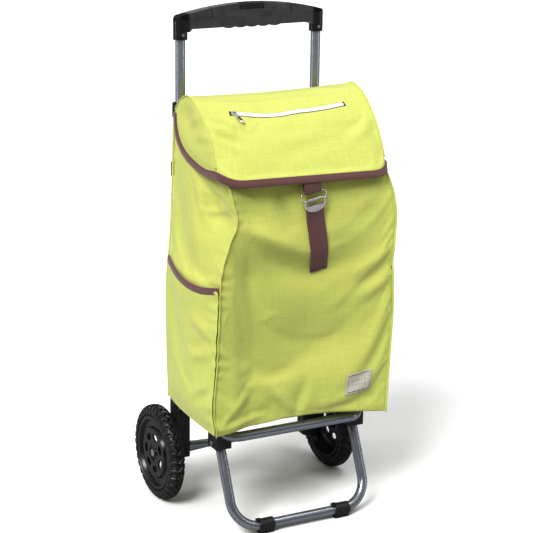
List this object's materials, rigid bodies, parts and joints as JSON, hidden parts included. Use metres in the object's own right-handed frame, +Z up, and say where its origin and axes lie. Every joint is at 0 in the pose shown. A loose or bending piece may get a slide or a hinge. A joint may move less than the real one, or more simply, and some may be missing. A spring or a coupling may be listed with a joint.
{
  "type": "folding shopping trolley",
  "caption": "Upright shopping trolley: tube frame with a telescopic handle, soft lidded bag with side pockets, spoked wheels, folding shelf and stand leg.",
  "frame": {"origin": "on the floor, midway across and midway along the trolley", "axes": "+X to the right seen from the front, +Y to the back where the uprights and wheels are, +Z up"},
  "size_m": [0.396, 0.3348, 0.93],
  "materials": {
    "tube_paint": "satin metallic grey paint",
    "black_plastic": "moulded, finely grained",
    "gloss_black": "polished",
    "tyre_rubber": "matt rubber",
    "steel": "zinc plated",
    "chrome": "polished plate",
    "lime_cloth": "coated plain weave",
    "brown_webbing": "ribbed webbing and tape",
    "zip_white": "woven tape with moulded teeth",
    "label_cream": "plain woven patch"
  },
  "bodies": {
    "frame": {"outer_upright_left": "tube_paint", "outer_upright_right": "tube_paint", "collar_left": "black_plastic", "collar_right": "black_plastic", "wheel_bracket_left": "black_plastic", "wheel_bracket_right": "black_plastic", "cross_tube": "tube_paint", "wheel_axle": "steel", "axle_nuts": "steel", "shelf_pivot_pins": "steel", "bag_side_panel_left": "lime_cloth", "bag_side_panel_right": "lime_cloth", "side_pocket_left": "lime_cloth", "side_pocket_right": "lime_cloth", "pocket_binding_left": "brown_webbing", "pocket_binding_right": "brown_webbing", "bag_front_panel": "lime_cloth", "bag_back_panel": "lime_cloth", "bag_bottom_panel": "lime_cloth", "bottom_board": "black_plastic", "bag_loops": "brown_webbing", "label_patch": "label_cream", "lower_strap": "brown_webbing", "lid_rear_strip": "lime_cloth"},
    "handle": {"inner_upright_left": "tube_paint", "inner_upright_right": "tube_paint", "inner_plug_left": "black_plastic", "inner_plug_right": "black_plastic", "grip_lower_shell": "black_plastic", "grip_cover_left": "black_plastic", "grip_cover_right": "black_plastic", "grip_cover_centre": "black_plastic", "grip_screws": "steel", "lock_pins": "steel", "button_spring": "steel"},
    "button": {"release_button": "gloss_black", "release_bar": "black_plastic", "release_rods": "steel"},
    "wheel_left": {"wheel_hub_left": "black_plastic", "tyre_left": "tyre_rubber"},
    "wheel_right": {"wheel_hub_right": "black_plastic", "tyre_right": "tyre_rubber"},
    "shelf": {"shelf_tube": "tube_paint", "leg_pivot_pins": "steel", "leg_clamp_left": "black_plastic", "leg_clamp_right": "black_plastic"},
    "stand_leg": {"leg_tube": "tube_paint", "foot_clip_left": "black_plastic", "foot_clip_right": "black_plastic"},
    "lid": {"lid_panel": "lime_cloth", "lid_gusset_left": "lime_cloth", "lid_gusset_right": "lime_cloth", "lid_binding": "brown_webbing", "zip_tape": "zip_white", "upper_strap": "brown_webbing", "buckle_ring": "chrome"},
    "slider": {"zip_slider": "steel"},
    "puller": {"zip_puller": "gloss_black"},
    "buckle_hook": {"hook_plate": "chrome"}
  },
  "joints": [
    {"name": "handle_slide", "type": "slide", "parent": "frame", "child": "handle", "axis": [0, 0, 1], "range_m": [-0.108, 0]},
    {"name": "button_press", "type": "slide", "parent": "handle", "child": "button", "axis": [0, 0, -1], "range_m": [0, 0.004], "stiffness_N_per_m": 400, "springref_m": -0.006, "deforming": ["button_spring"]},
    {"name": "wheel_left_spin", "type": "hinge", "parent": "frame", "child": "wheel_left", "pos_m": [-0.183, 0.0767, 0.0906], "axis": [1, 0, 0], "continuous": true},
    {"name": "wheel_right_spin", "type": "hinge", "parent": "frame", "child": "wheel_right", "pos_m": [0.183, 0.0767, 0.0906], "axis": [1, 0, 0], "continuous": true},
    {"name": "shelf_fold", "type": "hinge", "parent": "frame", "child": "shelf", "pos_m": [0, 0.0497, 0.182], "axis": [-1, 0, 0], "range_deg": [0, 85], "deforming": ["bag_front_panel", "bag_back_panel", "bag_bottom_panel", "bottom_board", "bag_loops", "label_patch", "bag_side_panel_left", "bag_side_panel_right", "side_pocket_left", "side_pocket_right", "pocket_binding_left", "pocket_binding_right"]},
    {"name": "leg_fold", "type": "hinge", "parent": "shelf", "child": "stand_leg", "pos_m": [0, -0.0868, 0.162], "axis": [1, 0, 0], "range_deg": [0, 82]},
    {"name": "lid_open", "type": "hinge", "parent": "frame", "child": "lid", "pos_m": [0, 0.03432, 0.77411], "axis": [-1, 0, 0], "range_deg": [0, 100]},
    {"name": "zip_slide", "type": "slide", "parent": "lid", "child": "slider", "axis": [1, 0, 0], "range_m": [0, 0.213]},
    {"name": "puller_swing", "type": "hinge", "parent": "slider", "child": "puller", "pos_m": [-0.10362, -0.07409, 0.75575], "axis": [-0.9397, -0.2837, -0.191], "range_deg": [0, 150]},
    {"name": "hook_swing", "type": "hinge", "parent": "frame", "child": "buckle_hook", "pos_m": [0.00988, -0.1623, 0.59365], "axis": [0.9877, 0, 0.1564], "range_deg": [0, 100]}
  ]
}
